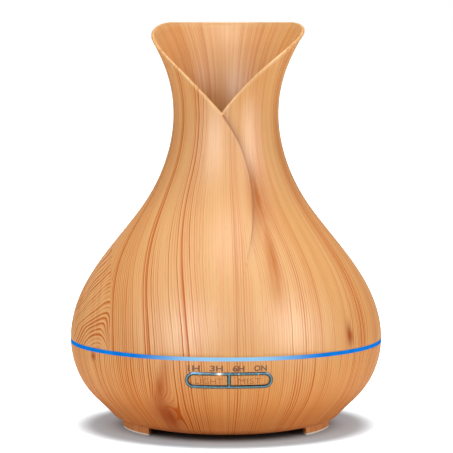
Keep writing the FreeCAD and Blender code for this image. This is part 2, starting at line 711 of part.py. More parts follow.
def indicator_light_pipes():
    """Clear rods that carry each indicator's light through the bezel's upper bar."""
    inside = layer(BEZEL_PROUD, -9.5, 26.0, 45.8)
    reach = (-4, CONTROL_BOARD[0] - 0.9)
    return [panel_rod(x, INDICATOR_UP, reach, PIPE_R).common(inside) for x in INDICATOR_X]


def button_bezel():
    """The plated frame round the two buttons, with its divider and a sleeve through the bowl's wall."""
    opening = stadium(OPENING_LENGTH, OPENING_HEIGHT)
    half = OPENING_HEIGHT / 2 + 0.3
    bar = on_panel(box((-DIVIDER / 2, DIVIDER / 2), (-4, 14), (-half, half)))
    face = stadium(BEZEL_LENGTH, BEZEL_HEIGHT).cut(opening).fuse(bar)
    sleeve = stadium(SLEEVE_LENGTH, SLEEVE_HEIGHT).cut(opening).fuse(bar)
    solid = join([face.common(layer(BEZEL_PROUD, 0.0)), sleeve.common(layer(0.0, -SLEEVE_DEPTH))])
    for x in INDICATOR_X:
        solid = solid.cut(panel_rod(x, INDICATOR_UP, (-6, 12), PIPE_R + 0.05))
    return solid


def button(side):
    """One push button: a cap in the bezel's opening, a stop behind the sleeve and a stem to its switch."""
    inner, outer = DIVIDER / 2 + BUTTON_GAP, OPENING_LENGTH / 2
    reach = sorted((side * inner, side * (outer + 2)))
    cap = stadium(OPENING_LENGTH - 2 * BUTTON_GAP, OPENING_HEIGHT - 2 * BUTTON_GAP)
    cap = cap.common(on_panel(box(reach, (-4, 14), (-5, 5)))).common(layer(-BUTTON_RECESS, -4.0))
    ledge = layer(-BUTTON_STOP[0], -BUTTON_STOP[1])
    stop = on_panel(box(sorted((side * 2.0, side * 19.6)), (-4, 14), (-4.0, 2.6))).common(ledge)
    stem = panel_rod(side * BUTTON_X, 0, (4.0, SWITCH_FRONT), 1.4)
    return join([cap, stop, stem])


def cables(made):
    """The five cables, each trimmed where it meets the parts it joins."""
    routes = {
        "power_cable": [(0, 50.5, 15), (5, 45, 13.5), (22, 38.5, 12), (36, 30, 12), (42, 21.5, 12)],
        "fan_cable": [(-16, -14.7, 9.5), (-12, -20, 8.6), (0, -22, 8.6), (10, -19.5, 11), (18, -17, 14),
                      (24, -21, 12.4)],
        "led_cable": [(17.3, 14.6, 15.6), (17.6, 14.9, 13.6), (20, 17, 12.4), (24, 19.5, 12.2)],
        "piezo_cable": [(0, 0, 17.8), (0.6, -0.6, 14), (7, -5, 11.8), (14, -8, 11.9), (18, -9, 9.4)],
        "control_cable": [(8, -72.3, 33.4), (9, -71.2, 30), (12, -68.5, 24), (20, -61, 16),
                          (32, -45, 11.5), (41, -30, 11), (42, -23.2, 12)],
    }
    joined = ["dc_socket", "board_connectors", "fan_frame", "led_board", "piezo_disc", "main_board",
              "control_board"]
    for name, points in routes.items():
        solid = cable(points, 1.0 if name == "power_cable" else 0.8)
        for other in joined:
            for piece in made[other] if isinstance(made[other], list) else [made[other]]:
                solid = solid.cut(piece)
        routes[name] = max(solid.Solids, key=lambda piece: piece.Volume)
    return routes


def build():
    made = {
        "top_cover": top_cover(),
        "inner_lid": inner_lid(),
        "lower_housing": lower_housing(),
        "bottom_cover": bottom_cover(),
        "base_screws": base_screws(),
        "foot_pad_right": foot_pad(FOOT_TURNS[0]),
        "foot_pad_rear": foot_pad(FOOT_TURNS[1]),
        "foot_pad_left": foot_pad(FOOT_TURNS[2]),
        "light_ring": light_ring(),
        "tank_seal": tank_seal(),
        "water_tank": water_tank(),
        "piezo_disc": piezo_disc(),
        "piezo_seal": piezo_seal(),
        "piezo_retainer": piezo_retainer(),
        "retainer_screws": retainer_screws(),
        "fan_frame": fan_frame(),
        "fan_rotor": fan_rotor(),
        "fan_motor_coil": fan_motor_coil(),
        "fan_gasket": fan_gasket(),
        "fan_screws": fan_screws(),
        "air_guide": air_guide(),
        "main_board": main_board(),
        "board_screws": board_screws(),
        "board_connectors": board_connectors(),
        "control_chip": control_chip(),
        "driver_coil": driver_coil(),
        "capacitors": capacitors(),
        "transistor_heat_sink": transistor_heat_sink(),
        "driver_transistor": driver_transistor(),
        "led_board": led_board(),
        "leds": leds(),
        "led_board_screws": led_board_screws(),
        "dc_socket": dc_socket(),
        "control_board": control_board(),
        "control_board_screws": control_board_screws(),
        "switch_bodies": switch_bodies(),
        "light_switch_plunger": switch_plunger(-BUTTON_X),
        "mist_switch_plunger": switch_plunger(BUTTON_X),
        "indicator_leds": indicator_leds(),
        "indicator_light_pipes": indicator_light_pipes(),
        "button_bezel": button_bezel(),
        "light_button": button(-1),
        "mist_button": button(1),
    }
    made.update(cables(made))
    return made


def export(parts):
    os.makedirs("parts", exist_ok=True)
    for name, shape in parts.items():
        solids = []
        for piece in shape if isinstance(shape, list) else [shape]:
            solids += piece.Solids
        whole = solids[0] if len(solids) == 1 else Part.makeCompound(solids)
        print(name, "solids", len(solids), "valid", whole.isValid(), "volume", round(whole.Volume, 1))
        whole.exportStep("parts/" + name + ".step")


export(build())
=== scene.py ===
import math
import bmesh
import bpy
import numpy as np
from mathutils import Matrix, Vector
from mathutils.bvhtree import BVHTree


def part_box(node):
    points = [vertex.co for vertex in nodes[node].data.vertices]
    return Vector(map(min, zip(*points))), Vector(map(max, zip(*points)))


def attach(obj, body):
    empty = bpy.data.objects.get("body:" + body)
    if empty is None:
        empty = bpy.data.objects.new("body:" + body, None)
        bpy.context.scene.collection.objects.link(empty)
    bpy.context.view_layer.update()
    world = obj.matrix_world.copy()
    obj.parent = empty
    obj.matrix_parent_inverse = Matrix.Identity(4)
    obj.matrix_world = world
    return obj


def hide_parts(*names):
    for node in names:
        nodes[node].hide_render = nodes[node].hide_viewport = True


# The looks of a vase-shaped oil diffuser. Metres, +Z up, the button panel faces -Y. "Turn" is the angle
# round the vase from the front, positive towards +X.

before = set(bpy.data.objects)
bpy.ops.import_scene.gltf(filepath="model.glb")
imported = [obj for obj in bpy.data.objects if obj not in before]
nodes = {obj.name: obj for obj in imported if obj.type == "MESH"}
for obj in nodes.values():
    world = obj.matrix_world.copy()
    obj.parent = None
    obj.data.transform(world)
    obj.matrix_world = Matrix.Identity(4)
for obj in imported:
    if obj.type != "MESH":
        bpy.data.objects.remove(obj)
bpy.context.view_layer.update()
MM = 0.001

# ---- sizes taken from the frame -----------------------------------------------------------------------
cover_low, cover_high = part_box("top_cover")
bezel_low, bezel_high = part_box("button_bezel")
HEIGHT = cover_high.z
RING_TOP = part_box("light_ring")[1].z
PANEL_Z = (bezel_low.z + bezel_high.z) / 2
BEZEL_LENGTH = bezel_high.x - bezel_low.x
BEZEL_HEIGHT = bezel_high.z - bezel_low.z

# ---- the cover's mouth, lap and grid: the shapes are close to the CAD source's ------------------------
NOTCH_TURN = math.radians(-6)
NOTCH_Z = 170 * MM
RIM_FALL_TURN = math.radians(132)
RIM_POWER = {"left": 1.5, "right": 1.65}
LAP_EDGE = [(86, 5.6), (100, 10.4), (118, 16.7), (133, 19.4), (145, 17.5), (155, 11.5), (163, 3.0),
            (170, -6.0)]           # height in mm, turn in degrees
LAP_FADE = (84 * MM, 126 * MM)
LAP_RISE = 1.0 * MM
LAP_DIP = 0.8 * MM
LAP_REACH = {"left": 16 * MM, "right": 9 * MM}
LAP_ROUND = 0.75 * MM              # rounding of the left petal's edge
LAP_UNDERCUT = 0.35 * MM
WALL = 2.3 * MM
LIP_WALL = 2.0 * MM
LIP_BLEND = 12 * MM                # height over which the wall thins to the lip
RIM_RADIUS = 28 * MM               # turns an arc beside the lap into an angle along the rim
SKIRT_CHAMFER = 0.25 * MM
SKIRT_CHAMFER_UP = 0.5 * MM
LAP_SHIFT = 0.06                   # radians the print is turned under the left petal, at the top
LAP_SHIFT_REACH = 0.9
FOLD_SHADE_REACH = {"left": 0.45 * MM, "right": 2.2 * MM}   # how far the painted shade in the lap's fold reaches from the edge
# arcs from the lap's edge at which the cover's grid has its first columns, then strides in turn
NEAR_LAP = [arc * MM for arc in (0, 0.08, 0.2, 0.38, 0.6, 0.85, 1.2, 1.7, 2.4, 3.2)]
FIRST_STRIDE = math.radians(0.7)
LAST_STRIDE = math.radians(2.6)
STRIDE_GROWTH = 1.12
COVER_ROWS = 150
LIP_STEPS = 8

# ---- camera, measured from the object's origin --------------------------------------------------------
CAMERA_DISTANCE = 1.300
CAMERA_HEIGHT = 0.2176
CAMERA_TURN = math.radians(-1.1)
CAMERA_PITCH = math.radians(4.733)
CAMERA_LENS = 191.53               # mm, on a sensor 36 mm wide
CAMERA_SHIFT = (0.0011, -0.0088)


# ---- curves -------------------------------------------------------------------------------------------
def natural_spline(xs, ys):
    """A function through the points: the natural cubic spline, held at its ends."""
    xs = np.array(xs, float)
    ys = np.array(ys, float)
    n = len(xs)
    gap = np.diff(xs)
    system = np.eye(n)
    right = np.zeros(n)
    for i in range(1, n - 1):
        system[i, i - 1:i + 2] = gap[i - 1], 2 * (gap[i - 1] + gap[i]), gap[i]
        right[i] = 6 * ((ys[i + 1] - ys[i]) / gap[i] - (ys[i] - ys[i - 1]) / gap[i - 1])
    bend = np.linalg.solve(system, right)

    def value(x):
        x = np.clip(x, xs[0], xs[-1])
        i = np.clip(np.searchsorted(xs, x) - 1, 0, n - 2)
        a = (xs[i + 1] - x) / gap[i]
        b = 1 - a
        curved = (a ** 3 - a) * bend[i] + (b ** 3 - b) * bend[i + 1]
        return a * ys[i] + b * ys[i + 1] + curved * gap[i] ** 2 / 6

    return value


def measured_outline(heights, turn):
    """The body's radius at each height, found by looking at the CAD solids from outside."""
    trees = {}
    for name in ("top_cover", "lower_housing"):
        mesh = nodes[name].data
        trees[name] = BVHTree.FromPolygons([v.co for v in mesh.vertices], [p.vertices for p in mesh.polygons])
    outward = Vector((math.sin(turn), -math.cos(turn), 0))
    radii = []
    for z in heights:
        tree = trees["top_cover" if z > RING_TOP else "lower_housing"]
        hit = tree.ray_cast(outward * HEIGHT * 2 + Vector((0, 0, z)), -outward)[0]
        radii.append(math.hypot(hit.x, hit.y))
    return radii


OUTLINE_HEIGHTS = [z * MM for z in (8, 18, 32, 45.5, 62, 80, 100, 122, 145, 167, 188, 206, 217.6)]
PLAIN_TURN = math.radians(150)     # a side of the vase away from the lap and the panel
body_radius = natural_spline(OUTLINE_HEIGHTS, measured_outline(OUTLINE_HEIGHTS, PLAIN_TURN))
lap_turn = natural_spline([z * MM for z, t in LAP_EDGE], [math.radians(t) for z, t in LAP_EDGE])


def smooth(x):
    """0 up to 0 and 1 from 1, with an even curve between."""
    x = np.clip(x, 0, 1)
    return x * x * (3 - 2 * x)


def rim_height(past_notch):
    """Height of the mouth's rim, past_notch radians to the right of the notch."""
    side = "left" if past_notch < 0 else "right"
    fall = max(0.0, 1 - abs(past_notch) / RIM_FALL_TURN) ** RIM_POWER[side]
    return HEIGHT - (HEIGHT - NOTCH_Z) * fall


def on_body(turn, z, radius):
    """Points at a turn, a height and a radius."""
    return np.stack([radius * np.sin(turn), -radius * np.cos(turn), z], axis=-1)


# ---- mesh helpers -------------------------------------------------------------------------------------
def new_piece(name, points, faces, body, material, sharp):
    """A mesh object that rides on a CAD body, smooth but for edges bent more than sharp degrees."""
    mesh = bpy.data.meshes.new(name)
    mesh.from_pydata([tuple(p) for p in points], [], faces)
    mesh.update()
    mesh.shade_smooth()
    mesh.set_sharp_from_angle(angle=math.radians(sharp))
    piece = bpy.data.objects.new(name, mesh)
    bpy.context.scene.collection.objects.link(piece)
    mesh.materials.append(material)
    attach(piece, body)
    return piece


def grid_faces(columns, rows, wrap_columns=True):
    """Quads of a grid stored column by column; each column is a closed loop of rows."""
    faces = []
    for c in range(columns if wrap_columns else columns - 1):
        d = (c + 1) % columns
        for r in range(rows):
            s = (r + 1) % rows
            faces.append((c * rows + r, d * rows + r, d * rows + s, c * rows + s))
    return faces


def vertex_values(piece, name, values):
    """Gives each vertex a number that a material reads."""
    layer = piece.data.attributes.new(name, "FLOAT", "POINT")
    layer.data.foreach_set("value", np.asarray(values, np.float32).ravel())


# ---- shader graphs ------------------------------------------------------------------------------------
class Graph:
    """A material whose nodes are made by short calls. Values are numbers, colours or sockets."""

    def __init__(self, name):
        self.material = bpy.data.materials.new(name)
        self.material.use_nodes = True
        self.tree = self.material.node_tree
        self.shader = self.tree.nodes["Principled BSDF"]

    def put(self, node, socket, value):
        if isinstance(value, bpy.types.NodeSocket):
            self.tree.links.new(value, node.inputs[socket])
        else:
            node.inputs[socket].default_value = value

    def node(self, kind, inputs=(), **settings):
        made = self.tree.nodes.new(kind)
        for key, value in settings.items():
            setattr(made, key, value)
        for socket, value in dict(inputs).items():
            self.put(made, socket, value)
        return made

    def math(self, operation, *values, clamp=False):
        made = self.node("ShaderNodeMath", operation=operation, use_clamp=clamp)
        for socket, value in enumerate(values):
            self.put(made, socket, value)
        return made.outputs[0]

    def chain(self, operation, first, values):
        for value in values:
            first = self.math(operation, first, value)
        return first

    def times(self, first, *values):
        return self.chain("MULTIPLY", first, values)

    def plus(self, first, *values):
        return self.chain("ADD", first, values)

    def minus(self, first, *values):
        return self.chain("SUBTRACT", first, values)

    def most(self, first, *values):
        return self.chain("MAXIMUM", first, values)

    def squares(self, a, b):
        """a squared and b squared, added."""
        return self.plus(self.times(a, a), self.times(b, b))

    def attribute(self, name):
        return self.node("ShaderNodeAttribute", attribute_name=name).outputs["Fac"]

    def place(self):
        """The point's position in the object's frame, in millimetres."""
        where = self.node("ShaderNodeTexCoord").outputs["Object"]
        made = self.node("ShaderNodeVectorMath", {0: where, 1: (1000, 1000, 1000)}, operation="MULTIPLY")
        return made.outputs[0]

    def split(self, vector):
        return self.node("ShaderNodeSeparateXYZ", {0: vector}).outputs

    def join(self, x, y, z):
        return self.node("ShaderNodeCombineXYZ", {0: x, 1: y, 2: z}).outputs[0]

    def noise(self, vector, scale, detail=2.0, roughness=0.5, stretch=None):
        if stretch:
            stretched = self.node("ShaderNodeVectorMath", {0: vector, 1: stretch}, operation="MULTIPLY")
            vector = stretched.outputs[0]
        inputs = {"Vector": vector, "Scale": scale, "Detail": detail, "Roughness": roughness}
        return self.node("ShaderNodeTexNoise", inputs).outputs["Fac"]

    def span(self, value, low, high, to_low=0.0, to_high=1.0, kind="SMOOTHSTEP"):
        """Takes low..high to to_low..to_high."""
        made = self.node("ShaderNodeMapRange", {0: value, 1: low, 2: high, 3: to_low, 4: to_high},
                         interpolation_type=kind)
        return made.outputs[0]

    def mix(self, factor, a, b):
        """Colour a at 0, colour b at 1."""
        made = self.node("ShaderNodeMix", data_type="RGBA")
        for socket, value in ((0, factor), (6, a), (7, b)):
            self.put(made, socket, value)
        return made.outputs[2]

    def curve(self, value, stops):
        """A ramp through (place, brightness) stops."""
        made = self.node("ShaderNodeValToRGB", {0: value})
        ramp = made.color_ramp
        for place, level in stops[1:-1]:
            ramp.elements.new(place).color = (level, level, level, 1)
        for element, (place, level) in ((ramp.elements[0], stops[0]), (ramp.elements[-1], stops[-1])):
            element.position = place
            element.color = (level, level, level, 1)
        return made.outputs[0]

    def bump(self, height, distance, strength):
        made = self.node("ShaderNodeBump", {"Height": height, "Distance": distance, "Strength": strength})
        self.put(self.shader, "Normal", made.outputs[0])

    def finish(self, **inputs):
        for name, value in inputs.items():
            self.put(self.shader, name.replace("_", " "), value)
        return self.material


def rgb(red, green, blue):
    """A display colour, 0 to 255, as a linear one."""
    def linear(v):
        v /= 255
        return v / 12.92 if v <= 0.04045 else ((v + 0.055) / 1.055) ** 2.4
    return (linear(red), linear(green), linear(blue), 1.0)


def shaded(colour, amount):
    """The colour, darker or lighter."""
    return tuple(min(1.0, part * amount) for part in colour[:3]) + (1.0,)


# ---- wood ---------------------------------------------------------------------------------------------
BOWL_TOP = (46.0, 46.2)            # mm; the bowl's print is below, the cover's above
BOWL_SHIFT = 3.4                   # lines by which the bowl's print is out of step with the cover's
GROWTH_LINES = 380                 # growth lines round the vase
FINE_LINES = 1.7                   # fine lines to each growth line
WRAP_RADIUS = 60.0                 # mm; the print's noise is laid out on a cylinder this size
SQUEEZE_Z = (45.0, 135.0)          # mm; over this height the print draws in, less than the vase narrows
SQUEEZE = {"left": 0.56, "right": 0.20}   # how far it draws in on each side of the vase
SQUEEZE_SIDES = (-0.15, 0.3)       # sines of the turn between which left gives way to right
# waves in the growth lines, from slow to quick: cycles per mm in x, y and z, detail, size in lines
GROWTH_WAVES = [
    ((0.020, 0.020, 0.0050), 1.0, 6.0),
    ((0.075, 0.075, 0.010), 1.0, 4.0),
    ((0.260, 0.260, 0.030), 2.0, 0.8),
]
ARCH_WAVES = ((0.05, 0.05, 0.05), 1.0, 2.4)
# how dark a growth line is across its width, from its start (0) to the next line's start (1)
LINE_PROFILE = [(0.0, 0.15), (0.08, 0.0), (0.44, 0.06), (0.64, 0.55), (0.76, 1.0), (0.92, 0.90),
                (1.0, 0.15)]
LINE_GAIN = 2.4
FAINTEST_LINE = 0.22
# how strongly the growth lines show at each turn, in degrees
LINE_CONTRAST = [(-180, 0.35), (-165, 0.45), (-150, 0.9), (-132, 0.7), (-115, 0.95), (-92, 0.85), (-72, 0.9),
                 (-50, 0.75), (-32, 0.5), (-30, 1.0), (-28, 0.6), (-24, 0.40), (-20, 0.6), (-17, 0.95),
                 (-13.5, 0.7), (-11, 0.4), (-7, 0.2), (0, 0.22), (3.5, 0.5), (7, 0.22), (18, 0.2),
                 (24, 0.5), (28, 0.7), (34, 0.35), (45, 0.25), (51, 0.5), (54, 1.0), (58, 0.6), (75, 0.75),
                 (120, 0.7), (150, 0.6), (180, 0.35)]
BOWL_CONTRAST = 0.25               # the lines on the bowl show this much more
ARCH_CONTRAST = 0.95
# turns of the lines that always show strongly, and how far to each side of them lines do so, in degrees
BOLD_LINES = (-45.5, -30.5, -28.5, -17.5, -15, 27, 55.5, 57, 58.5, 60)
BOLD_REACH = 0.7
BOLD_WIDENING = 0.65
BOLD_AMBER = 0.6                   # how far the wood beside a bold line turns amber
BOWL_BOLD_LOSS = 0.7               # how much less of this the bowl has
# arched grain left on the cover, in mm: it ends at x = edge; its peaks move from x = peak to top_peak over
# peak_z; it fades out round the side over turns, in degrees; lines is a whole number that makes it meet the
# straight grain behind it
ARCHES = {"edge": -60.5, "peak": -67.0, "top_peak": -53.0, "peak_z": (58.0, 95.0), "right": 2.7, "left": 5.0,
          "spacing": 2.6, "low": 47.5, "high": 106, "turns": (-99, -85), "lines": -124}
# swirls the growth lines bend round: turn and height of the middle, half sizes, lines, darkness
SWIRLS = [
    (76, 30, 11.0, 15, 14.0, 0.12),    # knot at the right edge of the bowl
    (49.3, 55.5, 1.9, 6.5, 1.8, 1.0),  # small knot low on the cover, right
    (-57, 43.6, 1.6, 2.4, 1.6, 1.0),   # small knot under the ring, left
    (-27, 16, 4.6, 9, 8.0, 0.75),      # dark heart low on the bowl, left of the panel
    (23.5, 122, 3.2, 9.0, 3.4, 0.0),   # rings in the streak
    (150, 90, 6.0, 30, 9.0, 0.0),
    (-140, 40, 2.0, 6, 2.5, 0.7),
    (-165, 120, 5.0, 28, 6.0, 0.1),
]
# long brown streaks: turn and height of the middle, half sizes, lean in degrees per mm, darkness
STREAKS = [
    (22.8, 126, 7.5, 17, 0.04, 1.0),
    (21.5, 97, 3.0, 23, 0.10, 0.95),
    (3.6, 90, 1.0, 40, 0.02, 0.35),
    (-26, 30, 2.8, 13, 0.2, 0.85),
    (-26.5, 14, 4.8, 8, 0.0, 1.0),
    (140, 60, 3.0, 30, 0.05, 0.4),
]
PALE = rgb(230, 184, 118)
HONEY = rgb(223, 170, 97)
AMBER = rgb(211, 122, 38)
LINE = rgb(186, 90, 12)
BROWN = rgb(190, 108, 44)
ORANGE_BROWN = rgb(168, 72, 8)
RUST = rgb(156, 70, 10)
# painted shade: the colour the print darkens to in the lap's fold
FOLD_SHADE = rgb(140, 74, 30)
LOW_SHADE = 0.50                   # painted shade: how far the lower edge of the bowl turns amber, darker towards the bottom where less light falls
LINE_DARK = 0.92                   # how far a full line turns to LINE
PORE_DARK = 0.34
# how strongly the painted shade darkens the lap's fold
FOLD_SHADE_STRENGTH = 0.55
# painted highlight: how far the rounded lip of the mouth turns pale
LIP_HIGHLIGHT = 0.35


class WoodPrint(Graph):
    """A material's graph that also knows where each point lies in the print."""

    def __init__(self, name):
        super().__init__(name)
        self.x, y, self.z = self.split(self.place())
        self.turn = self.math("ARCTAN2", self.x, self.times(y, -1.0))
        self.flat_turn = self.unwrapped()
        self.around = self.join(self.times(self.math("SINE", self.flat_turn), WRAP_RADIUS),
                                self.times(self.math("COSINE", self.flat_turn), WRAP_RADIUS), self.z)
        self.on_bowl = self.span(self.z, *BOWL_TOP, 1.0, 0.0)

    def unwrapped(self):
        """Turn round the vase as the print sees it: nearly straight up where the vase narrows."""
        side = self.math("SINE", self.turn)
        amount = self.span(side, *SQUEEZE_SIDES, SQUEEZE["left"], SQUEEZE["right"])
        squeeze = self.times(self.span(self.z, *SQUEEZE_Z), amount)
        return self.plus(self.minus(self.turn, self.times(squeeze, side)), self.attribute("lap_shift"))

    def streaky(self, stretch, detail=2.0, roughness=0.5):
        """Noise on the print's cylinder; stretch is in cycles per mm."""
        return self.noise(self.around, 1.0, detail, roughness, stretch)

    def waves(self, stretch, detail, amount):
        return self.times(self.minus(self.streaky(stretch, detail), 0.5), amount)

    def spot(self, middle, height, half_turn, half_height, lean=0.0):
        """1 at a spot on the vase, falling to 0 around it."""
        above = self.minus(self.z, height)
        across = self.minus(self.turn, math.radians(middle), self.times(above, math.radians(lean)))
        across = self.math("DIVIDE", across, math.radians(half_turn))
        along = self.math("DIVIDE", above, half_height)
        return self.math("EXPONENT", self.times(self.squares(across, along), -1.0))


def arched(wood, straight):
    """The growth coordinate where the arches are, and how far a point is inside them."""
    peak = wood.span(wood.z, *ARCHES["peak_z"], ARCHES["peak"], ARCHES["top_peak"], "LINEAR")
    off_peak = wood.minus(wood.x, peak)
    right = wood.math("DIVIDE", wood.most(off_peak, 0.0), ARCHES["right"])
    left = wood.math("DIVIDE", wood.math("MINIMUM", off_peak, 0.0), ARCHES["left"])
    arch = wood.plus(wood.math("DIVIDE", wood.z, ARCHES["spacing"]), wood.squares(right, left),
                     wood.waves(*ARCH_WAVES), ARCHES["lines"])
    side, front = (math.radians(turn) for turn in ARCHES["turns"])
    inside = wood.times(wood.span(wood.x, ARCHES["edge"] - 1.0, ARCHES["edge"], 1.0, 0.0),
                        wood.span(wood.turn, side, front),
                        wood.span(wood.z, ARCHES["low"] - 1, ARCHES["low"]),
                        wood.span(wood.z, ARCHES["high"] - 2, ARCHES["high"], 1.0, 0.0))
    return wood.plus(straight, wood.times(inside, wood.minus(arch, straight))), inside


def growth_lines(wood):
    """The growth coordinate, a whole number where a line starts, and how far a point is in the arches."""
    growth = wood.times(wood.flat_turn, GROWTH_LINES / math.tau)
    for wave in GROWTH_WAVES:
        growth = wood.plus(growth, wood.waves(*wave))
    growth, in_arches = arched(wood, growth)
    return wood.plus(growth, wood.times(wood.on_bowl, BOWL_SHIFT)), in_arches


def swirl_marks(wood, growth):
    """Bends the growth lines round each swirl, and says how dark the swirls are."""
    dark = 0.0
    for *place, count, darkness in SWIRLS:
        spot = wood.spot(*place)
        growth = wood.plus(growth, wood.times(spot, count))
        dark = wood.most(dark, wood.times(wood.math("POWER", spot, 1.2), darkness))
    return growth, dark


def streak_marks(wood):
    """How brown the long, ragged streaks are."""
    ragged = wood.span(wood.streaky((0.6, 0.6, 0.05), 3.0), 0.3, 0.65, 0.65, 1.0)
    brown = 0.0
    for *place, darkness in STREAKS:
        brown = wood.most(brown, wood.times(wood.spot(*place), ragged, darkness))
    return brown


def bold_marks(wood, which):
    """1 on the growth lines that always show strongly."""
    bold = 0.0
    for degrees in BOLD_LINES:
        off = wood.math("ABSOLUTE", wood.minus(which, degrees / 360 * GROWTH_LINES))
        bold = wood.most(bold, wood.span(off, 0.0, BOLD_REACH / 360 * GROWTH_LINES, 1.0, 0.0))
    return wood.times(bold, wood.minus(1.0, wood.times(wood.on_bowl, BOWL_BOLD_LOSS)))


def line_marks(wood, growth, in_arches, dark):
    """How dark the growth lines are, where the bold ones lie, and the fine lines between them."""
    which = wood.math("FLOOR", growth)
    bold = bold_marks(wood, which)
    lot = wood.node("ShaderNodeTexWhiteNoise", {"W": which}, noise_dimensions="1D").outputs["Value"]
    strength = wood.span(wood.math("POWER", lot, 1.6), 0.0, 1.0, FAINTEST_LINE, 1.0, "LINEAR")
    seen = wood.curve(wood.span(wood.flat_turn, -math.pi, math.pi, kind="LINEAR"),
                      [((degrees + 180) / 360, level) for degrees, level in LINE_CONTRAST])
    seen = wood.plus(seen, wood.times(wood.on_bowl, BOWL_CONTRAST))
    seen = wood.most(seen, wood.times(in_arches, ARCH_CONTRAST), dark, bold)
    broken = wood.span(wood.streaky((0.30, 0.30, 0.015)), 0.30, 0.60, 0.45, 1.0)
    across = wood.curve(wood.math("FRACT", growth), LINE_PROFILE)
    across = wood.math("POWER", across, wood.minus(1.0, wood.times(bold, BOLD_WIDENING)))
    line = wood.times(across, wood.most(strength, bold), wood.times(seen, broken))
    line = wood.math("MULTIPLY", line, LINE_GAIN, clamp=True)
    fine = wood.span(wood.math("FRACT", wood.times(growth, FINE_LINES)), 0.35, 0.85)
    return line, bold, wood.times(fine, wood.plus(wood.times(seen, 0.40), 0.12))


def wood_colour(wood, fibre, line, bold, hatch, brown, dark):
    """Honey-coloured wood, stained in turn by its bands, fibres, streaks, lines and pores, with painted shade
    low on the bowl and in the lap's fold and a painted highlight on the lip.
    """
    tone = wood.streaky((0.050, 0.050, 0.006))
    bands = wood.streaky((0.34, 0.34, 0.006))
    pores = wood.span(wood.streaky((3.4, 3.4, 0.12)), 0.58, 0.76)
    stains_and_painted_light = [
        # painted shade: amber towards the bottom of the bowl, where less light falls
        (wood.span(wood.z, 2.0, 50.0, LOW_SHADE, 0.0), AMBER),
        (wood.span(bands, 0.45, 0.72, 0.0, 0.30), AMBER),
        (wood.span(fibre, 0.30, 0.72, 0.0, 0.20), AMBER),
        (wood.most(hatch, wood.times(bold, BOLD_AMBER)), AMBER),
        (brown, wood.mix(wood.on_bowl, BROWN, ORANGE_BROWN)),
        (dark, RUST),
        (wood.times(line, LINE_DARK), LINE),
        (wood.times(pores, PORE_DARK), LINE),
        # painted shade in the lap's fold, where the right petal runs under the left
        (wood.times(wood.attribute("fold_shade"), FOLD_SHADE_STRENGTH), FOLD_SHADE),
        # painted highlight along the mouth's rounded lip
        (wood.times(wood.attribute("lip"), LIP_HIGHLIGHT), PALE),
    ]
    colour = wood.mix(wood.span(tone, 0.38, 0.64), HONEY, PALE)
    for amount, tint in stains_and_painted_light:
        colour = wood.mix(amount, colour, tint)
    return colour


def wood_material(name):
    """A satin wood-grain print that runs up the vase, with growth lines, arches, swirls and fibres."""
    wood = WoodPrint(name)
    growth, in_arches = growth_lines(wood)
    growth, dark = swirl_marks(wood, growth)
    brown = streak_marks(wood)
    line, bold, hatch = line_marks(wood, growth, in_arches, dark)
    fibre = wood.streaky((2.4, 2.4, 0.030), 3.0, 0.6)
    wood.bump(wood.plus(wood.times(line, -1.0), wood.times(fibre, 0.5)), 0.00004, 0.5)
    stained = wood.most(line, brown, dark)
    return wood.finish(Base_Color=wood_colour(wood, fibre, line, bold, hatch, brown, dark), IOR=1.5,
                       Roughness=wood.plus(wood.span(fibre, 0.3, 0.7, 0.43, 0.51), wood.times(line, 0.10)),
                       Specular_IOR_Level=wood.minus(1.0, wood.times(stained, 0.8)))


# ---- other materials ----------------------------------------------------------------------------------
WIRE_PITCH = 0.42                  # mm between the turns of the copper windings
RING_PALE = math.radians(8)        # the light ring is pale up to this turn on both sides of the front
RING_BLUE = math.radians(37)       # and blue from here on
LIT_X = -5.0                       # mm; the indicator that is on
INDICATOR_UP = 3.5                 # mm above the panel's middle
# the floor: how far out in mm it carries a painted dark shadow, starts to glow a little, and is all white;
# the white glow hides the real shadow beyond, so it also paints the edge of the shadow disc
FLOOR_SHADOW = (42.0, 68.0)
FLOOR_DIM = (50.0, 64.0)
FLOOR_WHITE = (70.0, 90.0)
FLOOR_GLOW = 0.10                  # of the floor near the object
FLOOR_BOUNCE = (0.86, 0.72, 0.52, 1)   # how much light the floor sends back up
# colour of the painted contact shadow under the object
FLOOR_SHADOW_COLOUR = (0.16, 0.18, 0.20, 1)
FLOOR_NEAR = ((0.50, 0.64, 0.74, 1), (0.54, 0.68, 0.78, 1))


def plastic(name, colour, roughness=0.5, grain=1.2, depth=0.00003, **extra):
    """Moulded plastic: a fine grain, faint cloudiness and small changes of shine."""
    g = Graph(name)
    where = g.place()
    fine = g.noise(where, grain, 3.0, 0.6)
    cloud = g.noise(where, 0.05, 2.0)
    g.bump(fine, depth, 0.35)
    return g.finish(Base_Color=g.mix(g.span(cloud, 0.3, 0.7), shaded(colour, 0.93), colour),
                    Roughness=g.span(fine, 0.2, 0.8, roughness - 0.06, roughness + 0.06, "LINEAR"), **extra)


def milky(name, colour, glow=0.0):
    """Translucent plastic that lets light bleed through, with a faint painted glow of its own colour."""
    return plastic(name, colour, 0.38, 0.8, Subsurface_Weight=0.35, Subsurface_Scale=0.006,
                   Subsurface_Radius=(1.0, 1.0, 1.0), Emission_Color=colour, Emission_Strength=glow)


def metal(name, colour, roughness=0.3, scratch=(0.4, 8.0, 0.4)):
    """Metal with fine scratches along one direction."""
    g = Graph(name)
    lines = g.noise(g.place(), 1.0, 3.0, 0.6, stretch=scratch)
    g.bump(lines, 0.00002, 0.3)
    return g.finish(Base_Color=g.mix(g.span(lines, 0.3, 0.75), colour, shaded(colour, 1.25)), Metallic=1.0,
                    Roughness=g.span(lines, 0.3, 0.7, roughness - 0.08, roughness + 0.1, "LINEAR"))


